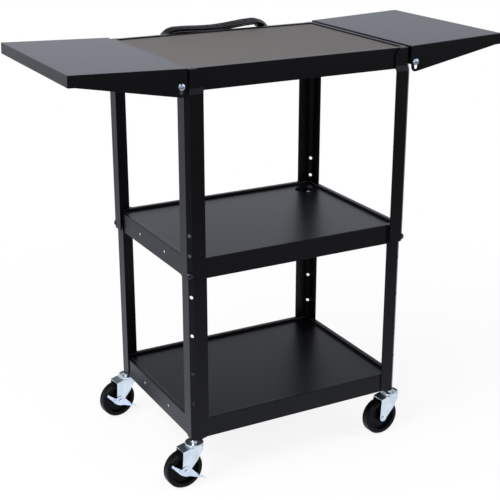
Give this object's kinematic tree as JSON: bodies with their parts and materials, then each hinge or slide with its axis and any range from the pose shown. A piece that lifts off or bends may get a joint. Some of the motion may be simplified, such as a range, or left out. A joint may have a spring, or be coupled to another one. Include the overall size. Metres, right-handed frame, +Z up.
{
  "type": "utility cart",
  "caption": "Adjustable-height utility cart: steel tray shelves on nested angle legs, drop leaves on slotted pivots, swivel casters with side brakes, outlet strip and wound power cord.",
  "frame": {"origin": "on the floor, midway between the cart's outermost points in X and in Y", "axes": "+X to the cart's right, along the leaves; +Y to its back, where the outlets are; +Z up"},
  "size_m": [1.1812, 0.5362, 1.085],
  "materials": {
    "black_powder_coat": "satin black powder coat, fine texture",
    "black_painted_hook": "black paint",
    "grey_ribbed_mat": "matt grey retaining mat, fine texture",
    "black_oxide_bolt": "black oxide, bright edges",
    "zinc_plated_steel": "bright zinc plate, faint blue",
    "blue_zinc_lever": "blue passivated zinc plate",
    "black_moulded_wheel": "smooth black moulded rubber",
    "black_painted_housing": "black paint",
    "black_nylon_socket": "moulded black nylon",
    "black_pvc_cord": "black PVC jacket",
    "black_moulded_plug": "moulded black PVC"
  },
  "bodies": {
    "base": {"middle_shelf": "black_powder_coat", "bottom_shelf": "black_powder_coat", "lower_leg_front_left": "black_powder_coat", "lower_leg_front_right": "black_powder_coat", "lower_leg_rear_left": "black_powder_coat", "lower_leg_rear_right": "black_powder_coat", "leg_nut_front_left": "zinc_plated_steel", "leg_nut_front_right": "zinc_plated_steel", "leg_nut_rear_left": "zinc_plated_steel", "leg_nut_rear_right": "zinc_plated_steel", "caster_mount_front_left": "zinc_plated_steel", "caster_mount_front_right": "zinc_plated_steel", "caster_mount_rear_left": "zinc_plated_steel", "caster_mount_rear_right": "zinc_plated_steel"},
    "upper_frame": {"top_shelf": "black_powder_coat", "top_mat": "grey_ribbed_mat", "upper_leg_front_left": "black_powder_coat", "upper_leg_front_right": "black_powder_coat", "upper_leg_rear_left": "black_powder_coat", "upper_leg_rear_right": "black_powder_coat", "leg_bolt_front_left": "black_oxide_bolt", "leg_bolt_front_right": "black_oxide_bolt", "leg_bolt_rear_left": "black_oxide_bolt", "leg_bolt_rear_right": "black_oxide_bolt", "leaf_bracket_front_left": "black_powder_coat", "leaf_bracket_front_right": "black_powder_coat", "leaf_bracket_rear_left": "black_powder_coat", "leaf_bracket_rear_right": "black_powder_coat", "outlet_housing": "black_painted_housing", "outlet_face": "black_nylon_socket", "cord_hook_left": "black_painted_hook", "cord_hook_right": "black_painted_hook", "power_cord": "black_pvc_cord", "cord_gland": "black_moulded_plug", "plug": "black_moulded_plug"},
    "left_leaf_pivots": {"leaf_pivot_front_left": "zinc_plated_steel", "leaf_pivot_rear_left": "zinc_plated_steel", "pivot_nut_front_left": "zinc_plated_steel", "pivot_nut_rear_left": "zinc_plated_steel"},
    "left_leaf": {"left_leaf": "black_powder_coat"},
    "right_leaf_pivots": {"leaf_pivot_front_right": "zinc_plated_steel", "leaf_pivot_rear_right": "zinc_plated_steel", "pivot_nut_front_right": "zinc_plated_steel", "pivot_nut_rear_right": "zinc_plated_steel"},
    "right_leaf": {"right_leaf": "black_powder_coat"},
    "caster_front_left": {"caster_fork_front_left": "zinc_plated_steel", "caster_axle_front_left": "zinc_plated_steel"},
    "wheel_front_left": {"wheel_front_left": "black_moulded_wheel"},
    "brake_front_left": {"brake_lever_front_left": "blue_zinc_lever"},
    "caster_front_right": {"caster_fork_front_right": "zinc_plated_steel", "caster_axle_front_right": "zinc_plated_steel"},
    "wheel_front_right": {"wheel_front_right": "black_moulded_wheel"},
    "caster_rear_left": {"caster_fork_rear_left": "zinc_plated_steel", "caster_axle_rear_left": "zinc_plated_steel"},
    "wheel_rear_left": {"wheel_rear_left": "black_moulded_wheel"},
    "brake_rear_left": {"brake_lever_rear_left": "blue_zinc_lever"},
    "caster_rear_right": {"caster_fork_rear_right": "zinc_plated_steel", "caster_axle_rear_right": "zinc_plated_steel"},
    "wheel_rear_right": {"wheel_rear_right": "black_moulded_wheel"}
  },
  "joints": [
    {"name": "height_slide", "type": "slide", "parent": "base", "child": "upper_frame", "axis": [0, 0, 1], "range_m": [-0.3431, 0]},
    {"name": "left_leaf_swing", "type": "hinge", "parent": "upper_frame", "child": "left_leaf_pivots", "pos_m": [-0.322, -0.0092, 1.029], "axis": [0, 1, 0], "range_deg": [-92.1, 0]},
    {"name": "left_leaf_lift", "type": "slide", "parent": "left_leaf_pivots", "child": "left_leaf", "axis": [0.0366, 0, 0.9993], "range_m": [0, 0.0138]},
    {"name": "right_leaf_swing", "type": "hinge", "parent": "upper_frame", "child": "right_leaf_pivots", "pos_m": [0.322, -0.0092, 1.029], "axis": [0, 1, 0], "range_deg": [0, 92.1]},
    {"name": "right_leaf_lift", "type": "slide", "parent": "right_leaf_pivots", "child": "right_leaf", "axis": [-0.0366, 0, 0.9993], "range_m": [0, 0.0138]},
    {"name": "swivel_front_left", "type": "hinge", "parent": "base", "child": "caster_front_left", "pos_m": [-0.2994, -0.2301, 0.1095], "axis": [0, 0, 1], "continuous": true},
    {"name": "wheel_spin_front_left", "type": "hinge", "parent": "caster_front_left", "child": "wheel_front_left", "pos_m": [-0.33294, -0.23215, 0.0508], "axis": [0.061, -0.9981, 0], "continuous": true},
    {"name": "brake_front_left", "type": "hinge", "parent": "caster_front_left", "child": "brake_front_left", "pos_m": [-0.33294, -0.23215, 0.0508], "axis": [0.061, -0.9981, 0], "range_deg": [0, 12]},
    {"name": "swivel_front_right", "type": "hinge", "parent": "base", "child": "caster_front_right", "pos_m": [0.2994, -0.2301, 0.1095], "axis": [0, 0, 1], "continuous": true},
    {"name": "wheel_spin_front_right", "type": "hinge", "parent": "caster_front_right", "child": "wheel_front_right", "pos_m": [0.26589, -0.2325, 0.0508], "axis": [0.0715, -0.9974, 0], "continuous": true},
    {"name": "swivel_rear_left", "type": "hinge", "parent": "base", "child": "caster_rear_left", "pos_m": [-0.2994, 0.2117, 0.1095], "axis": [0, 0, 1], "continuous": true},
    {"name": "wheel_spin_rear_left", "type": "hinge", "parent": "caster_rear_left", "child": "wheel_rear_left", "pos_m": [-0.33269, 0.20714, 0.0508], "axis": [0.1357, -0.9907, 0], "continuous": true},
    {"name": "brake_rear_left", "type": "hinge", "parent": "caster_rear_left", "child": "brake_rear_left", "pos_m": [-0.33269, 0.20714, 0.0508], "axis": [0.1357, -0.9907, 0], "range_deg": [0, 12]},
    {"name": "swivel_rear_right", "type": "hinge", "parent": "base", "child": "caster_rear_right", "pos_m": [0.2994, 0.2117, 0.1095], "axis": [0, 0, 1], "continuous": true},
    {"name": "wheel_spin_rear_right", "type": "hinge", "parent": "caster_rear_right", "child": "wheel_rear_right", "pos_m": [0.26593, 0.20877, 0.0508], "axis": [0.0872, -0.9962, 0], "continuous": true}
  ]
}
